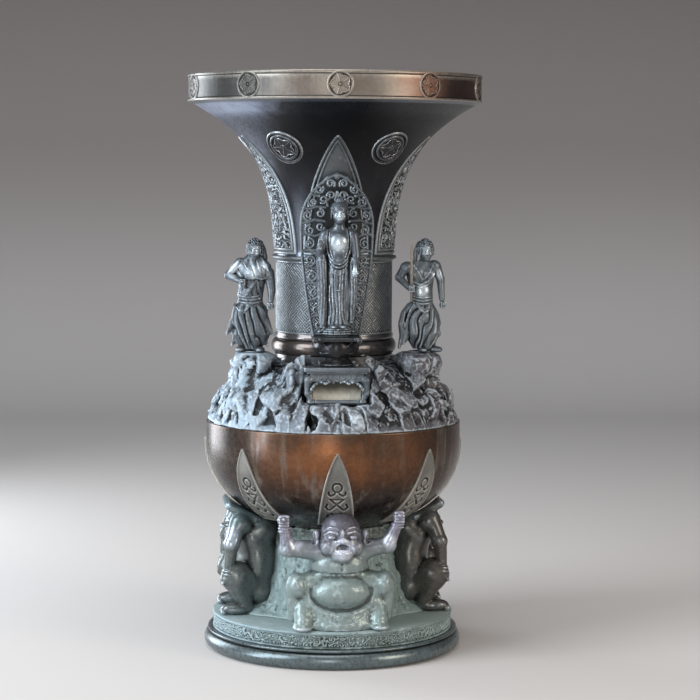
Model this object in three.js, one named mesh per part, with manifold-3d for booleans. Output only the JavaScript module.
// A tall temple flower vase of cast, patinated brass, made in sections.
// From the floor up: a moulded foot ring and a plinth, a rock column with four crouching bearers, a round bowl
// with pointed leaves, a crown of rocks with two guardians and a standing figure before a pierced halo, a
// patterned neck, and a trumpet mouth with a broad rim. A loose liner hangs in the neck and holds the water.
// Millimetres, +Z up. The front is -Y. The origin is the middle of the foot, on the floor.

import * as THREE from "three";
import { mergeVertices } from "three/addons/utils/BufferGeometryUtils.js";
import Module from "manifold-3d";

const wasm = await Module();
wasm.setup();

// Driving dimensions
const clearance = 0.3; // gap between two castings that meet on a curved or turned face
const facets = 28; // flats round each turned casting
const wall = 5; // thickness of the turned shells

const footRadius = 204;
const footHeight = 31;
const footWidth = 34; // from the outside of the foot ring to its bore

const plinthRadius = 190.5;
const plinthHeight = 26;
const plinthTopThickness = 6;
const plinthBoreRadius = 84;

const columnFootRadius = 126;
const columnTopRadius = 95;
const columnHeight = 141;
const columnWall = 9;
const columnRoughness = 2.6; // how far the rock face swells in and out
const columnFlats = 24;

const bowlRadius = 200.5;
const bowlHeight = 161;
const bowlFootRadius = 91;
const bowlShoulder = 21; // height of the upright stretch below the bowl's rim
const bowlFullness = 2.5; // 2 would be an ellipse, more is squarer
const bowlSpigotRadius = 76;
const bowlSpigotDepth = 16;
const bowlSpigotLip = 6; // the spigot's lip lies on the bowl's floor and holds it down
const bowlSpigotLipThickness = 3;
const bowlLeafCount = 8;
const bowlLeafHalfWidth = 27;
const bowlLeafTop = 133; // tip above the bowl's foot
const bowlLeafBottom = 15;

const crownInset = 1.5; // from the bowl's outside to the foot of the rocks
const crownHeight = 94;
const crownFullness = 2.2; // 1 would be a cone, more is a fuller dome
const crownShell = 13;
const crownRoughness = 5;

const drumRadius = 92;
const drumHeight = 113;
const neckRingRadius = drumRadius + 6.4;
const neckRingHeight = 46;
const neckSpigotRadius = drumRadius - 11;
const neckSpigotDepth = 20;
const crownBoreRadius = neckSpigotRadius + 3;
const collarRadius = drumRadius + 6;
const collarHeight = 7;

const throatRadius = drumRadius + 0.5;
const flareRadius = 226;
const trumpetHeight = 238;
const trumpetTaper = 0.1; // share of the flare that comes on evenly from the throat
const trumpetCurve = 3.6; // the rest comes on later the higher this is
const trumpetLeafCount = 5;
const trumpetLeafHalfWidth = 50;
const trumpetLeafHeight = 187;
const trumpetRoundelRadius = 31;
const trumpetRoundelHeight = 169; // middle above the collar

const rimOverhang = 4; // of the band past the trumpet's edge
const rimSeat = 9; // how far the band lies on the trumpet's edge
const rimHeight = 43;
const rimRoundelCount = 10;
const rimRoundelRadius = 19.5;
const reliefThickness = 1.8; // how far leaves and roundels stand out

const linerRadius = drumRadius - 14;
const linerWall = 1.6;
const linerFloorHeight = 8; // liner's floor above the drum's foot
const linerLipHeight = 118; // lip above the collar, where the throat opens

const tableWidth = 99.5;
const tableHeight = 56;
const tableRise = 41; // from the bowl's rim to the table's feet
const tableFrontShare = 0.662; // shares of the way from the neck ring out to the foot of the rocks
const tableBackShare = 0.324;
const nicheMargin = 3;

const standWidth = 77;
const standFootRadius = 27;
const standFootHeight = 18;
const standBodyHeight = 21;
const standSlabHeight = 6;
const standFrontShare = 0.543;
const seatHeight = 12;

const figureHeight = 202;
const figureStandoff = 44; // from the drum's side to the middle of the figure

const haloHeight = 247;
const haloFootHalfWidth = 37;
const haloHalfWidth = 56.5;
const haloWidestShare = 0.68;
const haloThickness = 4;
const haloStandoff = 17.5; // from the middle of the figure back to the middle of the halo
const haloBorder = 4.5;
const haloRows = 8;

const guardianHeight = 181;
const guardianShare = 0.513;
const guardianAzimuth = 61; // to each side of the front
const guardianRise = 19; // feet above the neck ring's foot

const bearerTurn = 4.5; // the bearers are set a little round from the vase's front
const handRise = 43; // from the bowl's foot up to the bearers' hands
const drawnSpan = 184; // the height from the plinth to the hands that the bearers are drawn for
const drawnPlinth = 190.5; // the plinth's radius that the bearers are drawn for

const pinRadius = 3;
const lockPinCount = 3;

// Levels, from the floor up
const plinthZ = footHeight;
const columnZ = plinthZ + plinthHeight;
const bowlZ = columnZ + columnHeight;
const crownZ = bowlZ + bowlHeight;
const neckZ = crownZ + crownHeight;
const drumZ = neckZ + neckRingHeight;
const collarZ = drumZ + drumHeight;
const trumpetZ = collarZ + collarHeight;
const rimZ = trumpetZ + trumpetHeight;

// Finishes
const finishes = {
  verdigris: new THREE.MeshStandardMaterial({ color: 0x7f9b93, roughness: 0.75, metalness: 0.35 }),
  darkFoot: new THREE.MeshStandardMaterial({ color: 0x4b4d4c, roughness: 0.45, metalness: 0.7 }),
  greyGreen: new THREE.MeshStandardMaterial({ color: 0x6d7f7b, roughness: 0.6, metalness: 0.45 }),
  brown: new THREE.MeshStandardMaterial({ color: 0x5b3d26, roughness: 0.35, metalness: 0.8 }),
  slate: new THREE.MeshStandardMaterial({ color: 0x76818a, roughness: 0.6, metalness: 0.5 }),
  nearBlack: new THREE.MeshStandardMaterial({ color: 0x2b2b2f, roughness: 0.4, metalness: 0.8 }),
  relief: new THREE.MeshStandardMaterial({ color: 0x646a6c, roughness: 0.55, metalness: 0.6 }),
  copper: new THREE.MeshStandardMaterial({ color: 0x8a5a3a, roughness: 0.4, metalness: 0.9 }),
  steel: new THREE.MeshStandardMaterial({ color: 0x77787a, roughness: 0.4, metalness: 0.9 }),
};

const { PI, cos, sin, sqrt, min, max, hypot } = Math;
const radians = (degrees) => (degrees * PI) / 180;

// Solids

// A closed geometry as a solid that can be joined and cut, with its faces pointing out.
function solidOf(geometry) {
  const loose = geometry.index ? geometry.toNonIndexed() : geometry;
  const bare = new THREE.BufferGeometry().setAttribute("position", loose.getAttribute("position"));
  const merged = mergeVertices(bare, 1e-4);
  const corners = merged.index.array;
  const make = (flip) => {
    const triangles = [];
    for (let i = 0; i < corners.length; i += 3) {
      const [a, b, c] = [corners[i], corners[i + 1], corners[i + 2]];
      if (a !== b && b !== c && c !== a) triangles.push(a, ...(flip ? [c, b] : [b, c]));
    }
    const vertProperties = merged.attributes.position.array;
    return new wasm.Manifold(
      new wasm.Mesh({ numProp: 3, vertProperties, triVerts: new Uint32Array(triangles) }),
    );
  };
  const solid = make(false);
  return solid.volume() < 0 ? make(true) : solid;
}

function meshOf(name, solid, material) {
  const { vertProperties, triVerts } = solid.getMesh();
  const geometry = new THREE.BufferGeometry();
  geometry.setAttribute("position", new THREE.BufferAttribute(new Float32Array(vertProperties), 3));
  geometry.setIndex(new THREE.BufferAttribute(new Uint32Array(triVerts), 1));
  geometry.computeVertexNormals();
  const mesh = new THREE.Mesh(geometry, material);
  mesh.name = name;
  return mesh;
}

const join = (...solids) => wasm.Manifold.union(solids.flat());
const turn = (solid, degrees) => solid.rotate([0, 0, degrees]);

// A profile of [radius, height] points turned round the Z axis.
function turned(points, flats = facets) {
  const outline = points.map(([radius, height]) => new THREE.Vector2(radius, height));
  return solidOf(new THREE.LatheGeometry(outline, flats).rotateX(PI / 2));
}

// A closed profile that starts and ends at the same point, turned.
const turnedRing = (points, flats) => turned([...points, points[0]], flats);

// A column with a profile outside and nothing cut from it, used to cut its neighbours to shape.
const filled = (points) => turned([[0, points[0][1]], ...points, [0, points.at(-1)[1]]]);

// The same line moved sideways: to its right as it runs, or left where the distance is negative.
function offsetLine(points, distance) {
  return points.map(([radius, height], i) => {
    const before = points[max(i - 1, 0)];
    const after = points[min(i + 1, points.length - 1)];
    const [dr, dz] = [after[0] - before[0], after[1] - before[1]];
    const length = hypot(dr, dz);
    return [radius + (dz / length) * distance, height - (dr / length) * distance];
  });
}

// A ring whose section changes as it goes round: every section has the same number of [radius, height] points.
function changingRing(sectionAt, steps) {
  const points = [];
  const corner = (section, angle) => [section[0] * cos(angle), section[0] * sin(angle), section[1]];
  for (let i = 0; i < steps; i++) {
    const [angle, next] = [(2 * PI * i) / steps, (2 * PI * ((i + 1) % steps)) / steps];
    const [here, there] = [sectionAt(angle), sectionAt(next)];
    for (let j = 0; j < here.length; j++) {
      const k = (j + 1) % here.length;
      const [a, b] = [corner(here[j], angle), corner(here[k], angle)];
      const [c, d] = [corner(there[j], next), corner(there[k], next)];
      points.push(...a, ...c, ...b, ...b, ...c, ...d);
    }
  }
  const geometry = new THREE.BufferGeometry();
  geometry.setAttribute("position", new THREE.Float32BufferAttribute(points, 3));
  return solidOf(geometry);
}

function ball([x, y, z], [rx, ry, rz], across = 6, down = 4) {
  const geometry = new THREE.SphereGeometry(1, across, down).rotateX(PI / 2);
  return solidOf(geometry.scale(rx, ry, rz).translate(x, y, z));
}

// A tapered limb with round ends between two points.
function limb(from, to, fromRadius, toRadius, flats = 6) {
  const [start, end] = [new THREE.Vector3(...from), new THREE.Vector3(...to)];
  const length = start.distanceTo(end);
  const outline = [
    [0, -0.9 * fromRadius],
    [fromRadius, 0],
    [toRadius, length],
    [0, length + 0.9 * toRadius],
  ].map(([radius, height]) => new THREE.Vector2(radius, height));
  const direction = end.clone().sub(start).normalize();
  const turnTo = new THREE.Quaternion().setFromUnitVectors(new THREE.Vector3(0, 1, 0), direction);
  return solidOf(new THREE.LatheGeometry(outline, flats).applyQuaternion(turnTo).translate(...from));
}

function block([x, y, z], [width, depth, height]) {
  return solidOf(new THREE.BoxGeometry(width, depth, height).translate(x, y, z));
}

function post([x, y, z], radius, height, flats = 6) {
  const geometry = new THREE.CylinderGeometry(radius, radius, height, flats).rotateX(PI / 2);
  return solidOf(geometry.translate(x, y, z + height / 2));
}

// An outline in X and Z, as seen from the front, given depth from y = front back to y = back.
function plate(shape, front, back) {
  const options = { depth: back - front, bevelEnabled: false, curveSegments: 6 };
  const geometry = new THREE.ExtrudeGeometry(shape, options);
  return solidOf(geometry.rotateX(PI / 2).translate(0, back, 0));
}

const shapeOf = (points) => new THREE.Shape(points.map(([x, z]) => new THREE.Vector2(x, z)));

// Left and right copies of one side, joined.
const bothSides = (make) => join(make(-1), make(1));

// The bumps of a rock face: three waves round the axis that shift with the level.
const bumps = (angle, level) =>
  0.45 * sin(3 * angle + 1.3 * level) +
  0.3 * sin(7 * angle - 2.1 * level + 1) +
  0.25 * sin(11 * angle + 3.7 * level);

// Outlines of the turned sections

const crownRadius = bowlRadius - crownInset;
const onLedge = (share) => neckRingRadius + share * (crownRadius - neckRingRadius);
const rimRadius = flareRadius + rimOverhang;
const beyond = 2 * (rimRadius + guardianHeight); // a reach past every piece, for cutting

const bowlTop = bowlZ + bowlHeight;
const bowlBend = Math.acos(bowlFootRadius / bowlRadius);
const bowlRise = (bend) => sin(bend) ** (2 / bowlFullness);
const bowlReach = (bowlHeight - bowlShoulder) / bowlRise(bowlBend);
const bowlSteps = 7;
const bowlOutline = Array.from({ length: bowlSteps }, (_, i) => {
  const bend = bowlBend * (1 - i / (bowlSteps - 1));
  return [bowlRadius * cos(bend), bowlTop - bowlShoulder - bowlReach * bowlRise(bend)];
});
bowlOutline.push([bowlRadius, bowlTop]);

const trumpetSteps = 8;
const trumpetOutline = Array.from({ length: trumpetSteps }, (_, i) => {
  const share = (i / (trumpetSteps - 1)) ** 0.7;
  const flare = trumpetTaper * share + (1 - trumpetTaper) * share ** trumpetCurve;
  return [throatRadius + (flareRadius - throatRadius) * flare, trumpetZ + trumpetHeight * share];
});

// Radius of an outline that rises from one point to the next, at a given height.
function radiusAt(outline, height) {
  const i = outline.findIndex(([, z]) => z >= height);
  if (i <= 0) return outline[i < 0 ? outline.length - 1 : 0][0];
  const [[r0, z0], [r1, z1]] = [outline[i - 1], outline[i]];
  return r0 + ((r1 - r0) * (height - z0)) / (z1 - z0);
}

const columnRadiusAt = (share) => columnTopRadius + (columnFootRadius - columnTopRadius) * (1 - share) ** 1.5;

// Foot and plinth

const footBoreRadius = footRadius - footWidth;
function footRing() {
  const bulge = footHeight / 2;
  const roll = Array.from({ length: 6 }, (_, i) => {
    const angle = radians(-80 + 32 * i);
    return [footRadius - bulge + bulge * cos(angle), bulge + bulge * sin(angle)];
  });
  return turnedRing([[footBoreRadius, 0], [roll[0][0], 0], ...roll.slice(1, 5), [roll[5][0], footHeight],
    [footBoreRadius, footHeight]]);
}

function plinth() {
  const top = columnZ;
  const under = top - plinthTopThickness;
  const lip = 2; // the band stands between two small fillets
  return turnedRing([
    [plinthRadius - wall - lip, plinthZ],
    [plinthRadius, plinthZ],
    [plinthRadius - lip, plinthZ + 2 * lip],
    [plinthRadius - lip, top - 2 * lip],
    [plinthRadius, top - lip],
    [plinthRadius - lip / 2, top],
    [plinthBoreRadius, top],
    [plinthBoreRadius, under],
    [plinthRadius - wall - lip, under],
  ]);
}

// Rock column

function columnSection(gap) {
  const rows = 5;
  return (angle) =>
    Array.from({ length: rows }, (_, i) => {
      const share = i / (rows - 1);
      const swell = i === rows - 1 ? 0 : columnRoughness * bumps(angle, 4 * share);
      return [columnRadiusAt(share) + swell + gap, columnZ + columnHeight * share];
    });
}

function rockColumn() {
  const face = columnSection(0);
  return changingRing((angle) => {
    const outside = face(angle);
    const [top, foot] = [columnTopRadius - columnWall, columnFootRadius - 2 * columnWall];
    return [...outside, [top, bowlZ], [top, bowlZ - bowlSpigotDepth - wall], [foot, columnZ]];
  }, columnFlats);
}

// The column without its hollow and a little larger, to cut what leans on it.
const columnCutter = changingRing((angle) => {
  const face = columnSection(clearance)(angle);
  return [[1, columnZ - 1], [face[0][0], columnZ - 1], ...face, [1, bowlZ]];
}, columnFlats);

// Bowl

const bowlInside = offsetLine(bowlOutline, -wall).filter(([, height]) => height > bowlZ + wall);
function bowl() {
  const inside = bowlInside.map(([radius, height]) => [radius, min(height, bowlTop)]);
  return turnedRing([
    [bowlSpigotRadius + clearance, bowlZ],
    ...bowlOutline,
    [bowlRadius - wall, bowlTop],
    ...inside.slice(0, -1).reverse(),
    [inside[0][0] - wall, bowlZ + wall],
    [bowlSpigotRadius + clearance, bowlZ + wall],
  ]);
}

// The ring that passes through the bowl's floor into the column.
function bowlSpigot() {
  const lipZ = bowlZ + wall + clearance;
  return turnedRing([
    [bowlSpigotRadius - wall, bowlZ - bowlSpigotDepth],
    [bowlSpigotRadius, bowlZ - bowlSpigotDepth],
    [bowlSpigotRadius, lipZ],
    [bowlSpigotRadius + bowlSpigotLip, lipZ],
    [bowlSpigotRadius + bowlSpigotLip, lipZ + bowlSpigotLipThickness],
    [bowlSpigotRadius - wall, lipZ + bowlSpigotLipThickness],
  ]);
}

const bowlCutter = filled(offsetLine(bowlOutline, clearance));
const bowlReliefCutter = filled(offsetLine(bowlOutline, clearance + reliefThickness));

// A pointed leaf's outline from its foot up: half width at a share of its height, 0 at the foot, 1 at the tip.
function leafOutline(halfWidthAt, bottom, top, steps) {
  const side = Array.from({ length: steps + 1 }, (_, i) => {
    const share = i / steps;
    return [halfWidthAt(share), bottom + (top - bottom) * share];
  });
  const left = side.slice(0, -1).reverse().map(([x, z]) => [-x, z]);
  return shapeOf([...side, ...left]);
}

// Copies of a flat outline, laid as a raised skin on a turned face, one at each of the azimuths.
function raisedSkins(outline, skin, azimuths, reach) {
  const prism = plate(outline, -reach, -reach / 4);
  return azimuths.map((azimuth) => skin.intersect(turn(prism, azimuth)));
}

const evenly = (count, first = 0) => Array.from({ length: count }, (_, i) => first + (360 / count) * i);

function bowlLeaves() {
  const skin = bowlReliefCutter.subtract(bowlCutter);
  const halfWidthAt = (share) => bowlLeafHalfWidth * (1 - share ** 2) ** 0.8;
  const outline = leafOutline(halfWidthAt, bowlZ + bowlLeafBottom, bowlZ + bowlLeafTop, 5);
  return raisedSkins(outline, skin, evenly(bowlLeafCount), bowlRadius + 10);
}

// Crown of rocks

const tableFront = -onLedge(tableFrontShare);
const tableFloorZ = crownZ + tableRise;
const tableTopZ = tableFloorZ + tableHeight;
const tableBack = -onLedge(tableBackShare);

const guardianReach = onLedge(guardianShare); // from the vase's axis
const guardianFootZ = neckZ + guardianRise;
const crownSteps = 28;

const crownSkirt = 2; // upright edge at the foot of the rocks
function crownSection(angle) {
  const rows = 5;
  const [inner, outer] = [neckRingRadius + 3, crownRadius];
  const face = Array.from({ length: rows }, (_, i) => {
    const share = (1 - i / (rows - 1)) ** 0.7;
    const swell = i === 0 || i === rows - 1 ? 0 : crownRoughness * bumps(angle, 5 * share);
    const rise = (crownHeight - crownSkirt) * (1 - share ** crownFullness);
    return [inner + (outer - inner) * share + swell, crownZ + crownSkirt + rise + swell];
  });
  return [[crownBoreRadius, crownZ], [outer, crownZ], ...face, [crownBoreRadius, neckZ]];
}

// A rough stone: a ball with its corners pushed in and out.
function boulder([x, y, z], [rx, ry, rz], seed) {
  const geometry = new THREE.IcosahedronGeometry(1, 1);
  const place = geometry.getAttribute("position");
  for (let i = 0; i < place.count; i++) {
    const [px, py, pz] = [place.getX(i), place.getY(i), place.getZ(i)];
    const swell = 1 + 0.13 * sin(7 * px + 3 * seed) * cos(6 * py - seed) + 0.1 * sin(9 * pz + 2 * seed);
    place.setXYZ(i, x + px * rx * swell, y + py * ry * swell, z + pz * rz * swell);
  }
  return solidOf(geometry);
}

// One guardian's outcrop, with its middle on the front line; it is turned to its azimuth.
function outcrop(seed) {
  const top = guardianFootZ;
  const stones = join(
    boulder([0, -guardianReach + 4, top - 12], [38, 32, 20], seed),
    boulder([4, -guardianReach + 4, top - 44], [33, 30, 32], seed + 1),
    boulder([-12, -guardianReach + 2, top - 74], [44, 36, 34], seed + 2),
    boulder([24, -guardianReach, top - 84], [36, 34, 30], seed + 3),
  );
  return stones.subtract(block([0, 0, top + beyond / 2], [beyond, beyond, beyond]));
}

// The main crags of the dome: azimuth from the front, reach from the vase's axis, height of the middle above
// the bowl's rim, and half sizes across, outwards and upwards.
const crags = [
  [-36, 158, 30, 27, 25, 31],
  [34, 156, 32, 26, 24, 33],
  [84, 158, 30, 30, 25, 30],
  [-87, 159, 26, 28, 25, 29],
  [109, 157, 32, 28, 24, 31],
  [-113, 158, 28, 30, 25, 31],
  [135, 159, 28, 29, 25, 30],
  [-139, 157, 31, 27, 24, 31],
  [161, 158, 30, 29, 25, 32],
  [-165, 159, 27, 28, 25, 29],
  [187, 157, 31, 26, 24, 30],
  [97, 140, 60, 28, 25, 27],
  [-100, 141, 58, 27, 25, 28],
  [123, 140, 58, 29, 25, 27],
  [-127, 140, 60, 28, 25, 26],
  [149, 141, 59, 28, 25, 28],
  [-153, 140, 58, 29, 25, 27],
  [176, 140, 60, 27, 25, 27],
];

function crownCrags() {
  return crags.map(([azimuth, reach, height, ...halfSizes], i) =>
    turn(boulder([0, -reach, crownZ + height], halfSizes, i), azimuth),
  );
}

function rockCrown() {
  const hollow = turnedRing([
    [crownBoreRadius + crownShell, crownZ - 1],
    [crownRadius - crownShell, crownZ - 1],
    [crownRadius - crownShell - 10, crownZ + 0.05 * crownHeight],
    [crownRadius - 50, crownZ + 0.45 * crownHeight],
    [crownBoreRadius + crownShell, crownZ + 0.7 * crownHeight],
  ]);
  const nicheWidth = tableWidth + 2 * nicheMargin;
  const nicheBack = tableBack + clearance;
  const nicheY = nicheBack - beyond / 2;
  const shelfHeight = 36;
  const shelf = block(
    [0, nicheY + nicheMargin, tableFloorZ - shelfHeight / 2],
    [nicheWidth + 16, beyond, shelfHeight],
  );
  const niche = block([0, nicheY, tableFloorZ + beyond / 2], [nicheWidth, beyond, beyond]);
  const peaks = join(
    boulder([-tableWidth / 2, tableBack + 8, neckZ - 8], [16, 15, 36], 2),
    boulder([tableWidth / 2 - 10, tableBack + 9, neckZ - 8], [14, 13, 34], 5),
  );
  const outcrops = [-1, 1].map((side) => turn(outcrop(3 + side), side * guardianAzimuth));
  const neckRoom = filled([[neckRingRadius + clearance, neckZ], [neckRingRadius + clearance, collarZ]]);
  const bore = filled([[crownBoreRadius, 0], [crownBoreRadius, neckZ + 1]]);
  const floor = filled([[beyond, 0], [beyond, crownZ]]);
  const outside = turnedRing([[crownRadius, 0], [beyond, 0], [beyond, rimZ], [crownRadius, rimZ]]);
  return join(changingRing(crownSection, crownSteps), crownCrags(), outcrops, peaks)
    .subtract(hollow.subtract(shelf))
    .subtract(niche)
    .subtract(join(neckRoom, bore))
    .subtract(join(floor, outside));
}

// Table before the rocks: a slab, a cusped apron and two curved legs on a low rail

function tableShape() {
  const half = tableWidth / 2;
  const slab = 8;
  const top = tableTopZ;
  const side = [
    [half - 6, tableFloorZ], [half - 1, tableFloorZ + 10], [half - 2, top - slab - 12],
    [half - 7, top - slab], [half, top - slab], [half, top],
  ];
  const shape = shapeOf([...side, ...side.toReversed().map(([x, z]) => [-x, z])]);
  const [sill, lintel, reach] = [tableFloorZ + 3.5, tableFloorZ + 32.5, half - 13];
  const opening = [[-reach + 5, sill], [-reach, sill + 7], [-reach, lintel - 5]];
  const cusps = 7;
  for (let i = 0; i <= cusps; i++) {
    opening.push([-reach + (2 * reach * i) / cusps, lintel + (i % 2 ? 1.5 : -1.5)]);
  }
  opening.push([reach, lintel - 5], [reach, sill + 7], [reach - 5, sill]);
  shape.holes.push(new THREE.Path(opening.map(([x, z]) => new THREE.Vector2(x, z))));
  return shape;
}

// The standing figure's stand: a round foot, a deep body and a slab with scrolled ends

const standFront = -onLedge(standFrontShare);
const standBack = -neckRingRadius;
const standZ = tableTopZ;
const figureY = -(drumRadius + figureStandoff);
const standTopZ = standZ + standFootHeight + standBodyHeight + standSlabHeight;
const seatZ = standTopZ + clearance;

const neckCutter = filled([[neckRingRadius + clearance, crownZ], [neckRingRadius + clearance, trumpetZ]]);

function figureStand() {
  const bodyZ = standZ + standFootHeight;
  const slabZ = bodyZ + standBodyHeight;
  const half = standWidth / 2;
  const foot = post([0, figureY, standZ + clearance], standFootRadius, standFootHeight, 16);
  const bodyShape = shapeOf([
    [-half + 14, bodyZ], [half - 14, bodyZ], [half - 7, slabZ - 8], [half - 3, slabZ], [-half + 3, slabZ],
    [-half + 7, slabZ - 8],
  ]);
  const body = plate(bodyShape, standFront + 3, standBack);
  const slab = block(
    [0, (standFront + standBack) / 2, slabZ + standSlabHeight / 2],
    [standWidth, standBack - standFront, standSlabHeight],
  );
  const scrolls = bothSides((side) => {
    const [x, z] = [side * (half - 3), slabZ + 2];
    return limb([x, standFront + 3, z], [x, standBack, z], 4.5, 4.5);
  });
  const above = block([0, 0, standTopZ + beyond / 2], [beyond, beyond, beyond]);
  return join(foot, body, slab, scrolls).subtract(join(neckCutter, above));
}

function lotusSeat() {
  const top = seatZ + seatHeight;
  const outline = [[0, seatZ], [16, seatZ], [20, seatZ + seatHeight / 2], [19, top], [0, top]];
  return turned(outline, 12).scale([1, 0.7, 1]).translate([0, figureY, 0]);
}

// Standing figure before the halo

const figureZ = seatZ + seatHeight + clearance;

function standingFigure() {
  const size = figureHeight / 204; // it is drawn 204 high
  const robe = turned(
    [[0, 0], [17, 0], [21, 6], [18, 40], [18, 80], [22, 118], [25, 142], [20, 158], [8, 166], [0, 168]], 10,
  ).scale([1, 0.62, 1]);
  const sleeves = bothSides((side) => limb([side * 24, 1, 140], [side * 27, 0, 62], 8, 6.5));
  const raisedArm = join(limb([-27, -2, 116], [-22, -18, 124], 6.5, 4.5), ball([-21, -21, 132], [4, 3, 7]));
  const loweredArm = join(limb([26, -2, 112], [25, -15, 92], 6.5, 4.5), ball([25, -18, 84], [4, 3, 7]));
  const head = join(limb([0, 1, 160], [0, 0, 172], 7, 7), ball([0, -1, 180], [11.5, 12.5, 14.5], 8, 6));
  const knot = ball([0, 1, 196], [6.5, 6.5, 8]);
  const feet = bothSides((side) => ball([side * 8, -13, 4], [5, 8, 4]));
  const floor = block([0, 0, -20], [100, 100, 40]);
  return join(robe, sleeves, raisedArm, loweredArm, head, knot, feet)
    .subtract(floor)
    .scale([size, size, size])
    .translate([0, figureY, figureZ]);
}

// Pierced halo: a pointed border with curved straps to a spine behind the figure

const haloY = figureY + haloStandoff;
const haloZ = standTopZ + clearance;

// Half width of the halo at a share of its height, drawn in by a border.
function haloHalfWidthAt(share) {
  if (share < haloWidestShare) {
    const rise = share / haloWidestShare;
    return haloFootHalfWidth + (haloHalfWidth - haloFootHalfWidth) * sin((rise * PI) / 2);
  }
  const fall = (share - haloWidestShare) / (1 - haloWidestShare);
  return haloHalfWidth * (1 - fall ** 2.1) ** 0.72;
}

function halo() {
  const outline = leafOutline(haloHalfWidthAt, haloZ, haloZ + haloHeight, 14);
  const spine = 5;
  const strap = 6.5;
  const lean = 7; // how far a strap climbs towards the border
  for (const side of [-1, 1]) {
    for (let row = 0; row < haloRows; row++) {
      const pitch = (haloHeight * 0.9) / haloRows;
      const low = haloBorder + row * pitch;
      const high = low + pitch - strap;
      const edge = (height) => max(haloHalfWidthAt(height / haloHeight) - haloBorder, spine + 3);
      const middle = (height) => (spine + edge(height)) / 2;
      const hole = [
        [spine, low], [middle(low), low + lean * 0.2], [edge(low + lean), low + lean], [edge(high), high],
        [middle(high), high - lean * 0.7], [spine, high - lean],
      ];
      if (high < haloHeight * 0.87) {
        outline.holes.push(new THREE.Path(hole.map(([x, z]) => new THREE.Vector2(side * x, haloZ + z))));
      }
    }
  }
  return plate(outline, haloY - haloThickness / 2, haloY + haloThickness / 2);
}

// Guardians on their outcrops

const guardianSize = guardianHeight / 184;

function guardianBody() {
  const legs = bothSides((side) => limb([side * 15, 0, 9], [side * 11, 0, 62], 7.5, 11));
  const feet = bothSides((side) => ball([side * 17, -8, 5], [7, 13, 6]));
  const skirt = turned([[0, 36], [25, 38], [24, 60], [18, 92], [19, 100], [0, 102]], 10).scale([1, 0.72, 1]);
  const torso = ball([0, 0, 120], [21, 15, 30], 8, 5);
  const shoulders = ball([0, 1, 137], [27, 12, 13]);
  const neck = limb([0, 0, 142], [0, -2, 156], 8, 8);
  const head = ball([0, -4, 164], [11.5, 13, 15], 8, 6);
  const hair = ball([0, 2, 174], [12, 12, 10]);
  const scarf = bothSides((side) => limb([side * 20, 4, 90], [side * 27, 6, 40], 5, 3));
  const floor = block([0, 0, -20], [120, 120, 40]);
  return join(legs, feet, skirt, torso, shoulders, neck, head, hair, scarf).subtract(floor);
}

// An arm hanging straight down on one side, with a fist.
const hangingArm = (side) =>
  join(
    limb([side * 25, 0, 138], [side * 32, 0, 106], 8, 6.5),
    limb([side * 32, 0, 106], [side * 34, -4, 82], 6.5, 5),
    ball([side * 34, -5, 75], [7, 7, 8]),
  );

// An arm bent at the elbow, with its fist in front of the body.
const bentArm = (side, [handX, handY, handZ]) =>
  join(
    limb([side * 24, 0, 138], [side * 38, -2, 114], 8, 6.5),
    limb([side * 38, -2, 114], [handX, handY, handZ], 6.5, 5),
    ball([handX, handY, handZ], [7, 7, 8]),
  );

const swordHand = [-20, -18, 100];
const swordTop = 176;
const swordRadius = 2.2;

function guardian(side) {
  const robed = side < 0;
  const arms = join(hangingArm(1), bentArm(-1, robed ? [-8, -17, 108] : swordHand));
  const grip = post([swordHand[0], swordHand[1] - 1, 60], swordRadius + clearance, 160);
  const body = join(guardianBody(), arms);
  const figure = robed ? body : body.subtract(grip);
  return placeGuardian(figure.scale([guardianSize, guardianSize, guardianSize]), side);
}

// The guardians look to the front, each turned a little out.
function placeGuardian(solid, side) {
  const angle = radians(guardianAzimuth);
  const place = [side * guardianReach * sin(angle), -guardianReach * cos(angle), guardianFootZ + clearance];
  return turn(solid, side * 12).translate(place);
}

function sword() {
  const [x, y] = [swordHand[0], swordHand[1] - 1];
  const blade = post([x, y, 84], swordRadius, swordTop - 84);
  const guardPlate = post([x, y, 111], 5, 2.5);
  const pommel = ball([x, y, 84], [4, 4, 4]);
  return placeGuardian(join(blade, guardPlate, pommel).scale([guardianSize, guardianSize, guardianSize]), 1);
}

// Bearers round the column. They are drawn for the real gap between plinth and bowl, and follow it.

const bearerStretch = (columnHeight + handRise) / drawnSpan;

function raisedBearer() {
  const thighs = bothSides((side) => limb([side * 22, -130, 60], [side * 66, -162, 62], 24, 20));
  const shins = bothSides((side) => limb([side * 68, -164, 58], [side * 62, -160, 14], 17, 13));
  const feet = bothSides((side) => ball([side * 60, -170, 7], [14, 20, 9]));
  const lapShape = [[-46, 3], [46, 3], [56, 20], [58, 54], [30, 66], [-30, 66], [-58, 54], [-56, 20]];
  const lap = plate(shapeOf(lapShape), -183, -136);
  const belly = ball([0, -160, 58], [44, 34, 32], 8, 5);
  const chest = ball([0, -144, 94], [42, 30, 28], 8, 5);
  const back = ball([0, -122, 60], [50, 34, 60]);
  const upperArms = bothSides((side) => limb([side * 34, -140, 116], [side * 88, -134, 118], 16, 13));
  const forearms = bothSides((side) => limb([side * 90, -132, 118], [side * 89, -126, 150], 12, 9));
  const hands = bothSides((side) => ball([side * 91, -125, 161], [12, 13, 11]));
  const head = ball([0, -152, 138], [30, 30, 34], 8, 6);
  const ears = bothSides((side) => ball([side * 34, -146, 126], [6, 8, 15]));
  return join(thighs, shins, feet, lap, belly, chest, back, upperArms, forearms, hands, head, ears);
}

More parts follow.
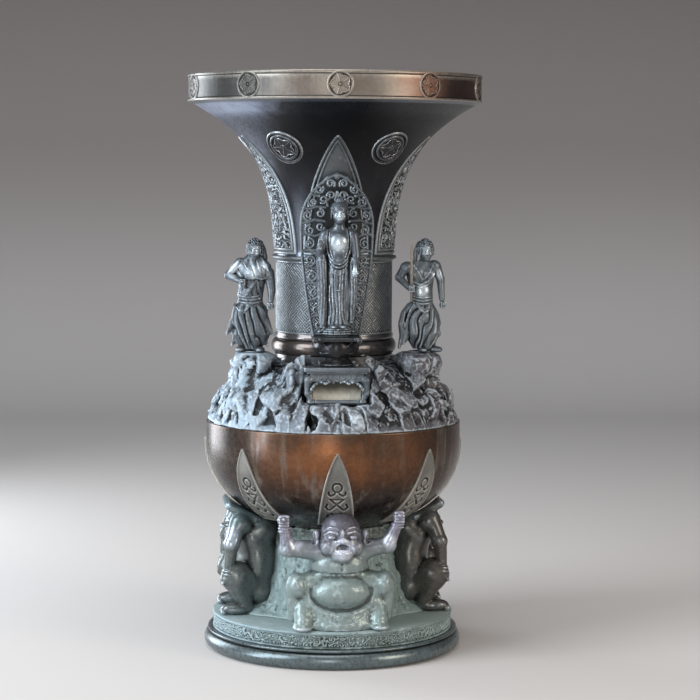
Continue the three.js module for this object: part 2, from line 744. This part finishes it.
function stoopingBearer() {
  const thighs = bothSides((side) => ball([side * 36, -150, 48], [27, 35, 35]));
  const shins = bothSides((side) => limb([side * 42, -164, 50], [side * 38, -158, 14], 17, 13));
  const feet = bothSides((side) => ball([side * 38, -168, 7], [14, 18, 9]));
  const belly = ball([0, -150, 66], [34, 32, 34]);
  const torso = ball([0, -128, 104], [46, 36, 52], 8, 5);
  const drape = plate(shapeOf([[-30, 0], [30, 0], [24, 50], [-24, 50]]), -170, -124);
  const upperArms = bothSides((side) => limb([side * 40, -144, 146], [side * 52, -168, 106], 16, 13));
  const forearms = bothSides((side) => limb([side * 52, -169, 104], [side * 42, -174, 78], 12, 10));
  const hands = bothSides((side) => ball([side * 41, -172, 70], [13, 12, 8]));
  const head = ball([0, -160, 148], [25, 24, 29], 8, 6);
  return join(thighs, shins, feet, drape, belly, torso, upperArms, forearms, hands, head);
}

const plinthTopCutter = filled([[plinthRadius + 30, 0], [plinthRadius + 30, columnZ + clearance]]);
const bearerSurroundings = join(columnCutter, bowlCutter, plinthTopCutter, bowlReliefGap());

// Room round the raised leaves, so that a bearer's hand stays clear of them.
function bowlReliefGap() {
  return filled(offsetLine(bowlOutline, 2 * clearance + reliefThickness));
}

const bearerPinReach = columnFootRadius + 10;
const bearerPinHeight = 20;
const bearerPin = (radius, margin) =>
  post([0, -bearerPinReach, columnZ - bearerPinHeight / 2 - margin], radius, bearerPinHeight + 2 * margin);

function bearer(model, azimuth) {
  const figure = model.scale([1, 1, bearerStretch]).translate([0, drawnPlinth - plinthRadius, columnZ]);
  const hole = bearerPin(pinRadius + clearance, clearance);
  return turn(figure.subtract(hole), azimuth).subtract(bearerSurroundings);
}

const bearerAzimuths = { front: 0, right: 90, back: 180, left: 270 };

// Neck: moulded ring, patterned drum and collar

function neckRing() {
  const base = 13; // plain ring under the torus
  const torusHeight = 23;
  const fillet = neckRingRadius - 5.5;
  const steps = 5;
  const torus = Array.from({ length: steps }, (_, i) => {
    const angle = radians(-72 + (144 * i) / (steps - 1));
    const middle = neckZ + base + torusHeight / 2;
    return [neckRingRadius - 6 + 6 * cos(angle), middle + (torusHeight / 2) * sin(angle) / sin(radians(72))];
  });
  return turnedRing([
    [neckSpigotRadius - wall, neckZ - neckSpigotDepth],
    [neckSpigotRadius, neckZ - neckSpigotDepth],
    [neckSpigotRadius, neckZ],
    [fillet, neckZ],
    [fillet, neckZ + base],
    ...torus,
    [fillet, neckZ + base + torusHeight],
    [fillet, drumZ],
    [drumRadius - wall, drumZ],
    [drumRadius - wall, neckZ + 20],
    [neckSpigotRadius - wall, neckZ + 14],
  ]);
}

function neckDrum() {
  const inside = drumRadius - wall;
  return turnedRing([[inside, drumZ], [drumRadius, drumZ], [drumRadius, collarZ], [inside, collarZ]]);
}

function neckCollar() {
  const step = 2; // the flange overhangs the drum by a small cove
  return turnedRing([
    [drumRadius - wall, collarZ],
    [drumRadius + step, collarZ],
    [collarRadius, collarZ + step],
    [collarRadius, trumpetZ],
    [drumRadius - wall, trumpetZ],
  ]);
}

// Trumpet mouth with its leaves and roundels

const trumpetInside = offsetLine(trumpetOutline, -wall);
function trumpet() {
  const foot = [throatRadius - wall, trumpetZ];
  const inside = [foot, ...trumpetInside.slice(1, -1), [flareRadius - 2 * wall, rimZ]];
  return turnedRing([...trumpetOutline, ...inside.reverse()]);
}

const trumpetCutter = filled(offsetLine(trumpetOutline, clearance));
const trumpetSkin = filled(offsetLine(trumpetOutline, clearance + reliefThickness)).subtract(trumpetCutter);

function trumpetLeaves() {
  const halfWidthAt = (share) => trumpetLeafHalfWidth * (1 - share ** 2.2) ** 0.8;
  const outline = leafOutline(halfWidthAt, trumpetZ + 3, trumpetZ + trumpetLeafHeight, 5);
  return raisedSkins(outline, trumpetSkin, evenly(trumpetLeafCount), flareRadius + 10);
}

// A round outline as it looks from the front, lower than wide where the face behind it leans.
const roundel = (radius, middle, flats, lean = 0) =>
  shapeOf(evenly(flats).map((a) => [radius * cos(radians(a)), middle + radius * cos(lean) * sin(radians(a))]));

function trumpetRoundels() {
  const middle = trumpetZ + trumpetRoundelHeight;
  const reach = trumpetRoundelRadius / 2;
  const flare = radiusAt(trumpetOutline, middle + reach) - radiusAt(trumpetOutline, middle - reach);
  const outline = roundel(trumpetRoundelRadius, middle, 10, Math.atan2(flare, 2 * reach));
  return raisedSkins(outline, trumpetSkin, evenly(trumpetLeafCount, 180 / trumpetLeafCount), flareRadius + 10);
}

// Rim band

const rimTopZ = rimZ + rimHeight;
function rimBand() {
  const edge = 1.5;
  return turnedRing([
    [flareRadius - rimSeat, rimZ],
    [rimRadius - edge, rimZ],
    [rimRadius, rimZ + edge],
    [rimRadius, rimTopZ - edge],
    [rimRadius - edge, rimTopZ],
    [flareRadius - rimSeat + edge, rimTopZ],
    [flareRadius - rimSeat, rimTopZ - edge],
  ]);
}

// Roundels cast in one with the band.
function rimRoundels() {
  const band = (gap) => filled([[rimRadius + gap, rimZ], [rimRadius + gap, rimTopZ]]);
  const skin = band(reliefThickness).subtract(band(-2 * reliefThickness));
  const outline = roundel(rimRoundelRadius, rimZ + rimHeight / 2, 10);
  return raisedSkins(outline, skin, evenly(rimRoundelCount), rimRadius + 10);
}

// Loose water liner: a straight pot with a lip that lies on the opening throat

function waterLiner() {
  const floorZ = drumZ + linerFloorHeight;
  const lipZ = trumpetZ + linerLipHeight;
  const lipRadius = radiusAt(trumpetInside, lipZ) - 2 * clearance;
  return turned([
    [0, floorZ],
    [linerRadius - 4, floorZ],
    [linerRadius, floorZ + 4],
    [linerRadius, lipZ - 14],
    [lipRadius, lipZ],
    [lipRadius, lipZ + linerWall],
    [lipRadius - 2, lipZ + linerWall],
    [linerRadius - linerWall, lipZ - 12],
    [linerRadius - linerWall, floorZ + 5],
    [linerRadius - 5, floorZ + linerWall],
    [0, floorZ + linerWall],
  ]);
}

// Pins

// A ring of pins that lock a spigot in its socket: each runs radially from inner to outer at a height.
function radialPins(inner, outer, height, radius) {
  const geometry = new THREE.CylinderGeometry(radius, radius, outer - inner, 6);
  const pin = solidOf(geometry.translate(0, -(inner + outer) / 2, height));
  return evenly(lockPinCount, 45).map((azimuth) => turn(pin, azimuth));
}

const bowlPinZ = bowlZ - bowlSpigotDepth / 2;
const bowlPinSpan = [bowlSpigotRadius - wall, columnTopRadius - 2.5];
const neckPinZ = neckZ - neckSpigotDepth / 2;
const neckPinSpan = [neckSpigotRadius - wall, crownBoreRadius + 9];
const pinHoles = (span, height) =>
  join(radialPins(span[0] - 1, span[1] + clearance, height, pinRadius + clearance));

const figurePinHeight = 12;
const figurePinZ = figureZ - (figurePinHeight + seatHeight) / 2;
const figurePin = (radius, margin) =>
  post([0, figureY, figurePinZ - margin], radius, figurePinHeight + 2 * margin);

const guardianPinHeight = 18;
function guardianPins(radius, margin) {
  const pin = post([15, 0, -guardianPinHeight / 2 - margin], radius, guardianPinHeight + 2 * margin);
  return [-1, 1].map((side) => placeGuardian(pin, side));
}

const bearerPins = (radius, margin) =>
  Object.values(bearerAzimuths).map((azimuth) => turn(bearerPin(radius, margin), azimuth + bearerTurn));

// Assembly

const bearerSeats = join(bearerPins(pinRadius + clearance, clearance));
const guardianSeats = join(guardianPins(pinRadius + clearance, clearance));
const figureSeat = figurePin(pinRadius + clearance, clearance);

const vase = new THREE.Group();
const add = (name, solid, material) => vase.add(meshOf(name, solid, material.clone()));
function addSet(name, solids, material) {
  solids.forEach((solid, i) => add(`${name}_${i + 1}`, solid, material));
}

add("foot_ring", footRing(), finishes.darkFoot);
add("plinth", plinth().subtract(bearerSeats), finishes.verdigris);
add("rock_column", rockColumn().subtract(pinHoles(bowlPinSpan, bowlPinZ)), finishes.verdigris);
const raised = raisedBearer();
const stooping = stoopingBearer();
for (const [place, azimuth] of Object.entries(bearerAzimuths)) {
  const model = place === "front" || place === "back" ? raised : stooping;
  add(`bearer_${place}`, bearer(model, azimuth + bearerTurn), finishes.greyGreen);
}
addSet("bearer_pin", bearerPins(pinRadius, 0), finishes.steel);
add("bowl", bowl(), finishes.brown);
add("bowl_spigot", bowlSpigot().subtract(pinHoles(bowlPinSpan, bowlPinZ)), finishes.brown);
addSet("bowl_leaf", bowlLeaves(), finishes.relief);
addSet("bowl_lock_pin", radialPins(...bowlPinSpan, bowlPinZ, pinRadius), finishes.steel);
add("rock_crown", rockCrown().subtract(join(pinHoles(neckPinSpan, neckPinZ), guardianSeats)), finishes.slate);
add("altar_table", plate(tableShape(), tableFront, tableBack), finishes.slate);
add("figure_stand", figureStand().subtract(figureSeat), finishes.nearBlack);
add("lotus_seat", lotusSeat().subtract(figureSeat), finishes.slate);
add("standing_figure", standingFigure().subtract(figureSeat), finishes.slate);
add("figure_pin", figurePin(pinRadius, 0), finishes.steel);
add("halo", halo(), finishes.slate);
add("guardian_left", guardian(-1).subtract(guardianSeats), finishes.slate);
add("guardian_right", guardian(1).subtract(guardianSeats), finishes.slate);
add("guardian_sword", sword(), finishes.slate);
addSet("guardian_pin", guardianPins(pinRadius, 0), finishes.steel);
add("neck_ring", neckRing().subtract(pinHoles(neckPinSpan, neckPinZ)), finishes.brown);
addSet("neck_lock_pin", radialPins(...neckPinSpan, neckPinZ, pinRadius), finishes.steel);
add("neck_drum", neckDrum(), finishes.relief);
add("neck_collar", neckCollar(), finishes.relief);
add("trumpet", trumpet(), finishes.nearBlack);
addSet("trumpet_leaf", trumpetLeaves(), finishes.relief);
addSet("trumpet_roundel", trumpetRoundels(), finishes.relief);
add("rim_band", join(rimBand(), rimRoundels()), finishes.nearBlack);
add("water_liner", waterLiner(), finishes.copper);

export default vase;
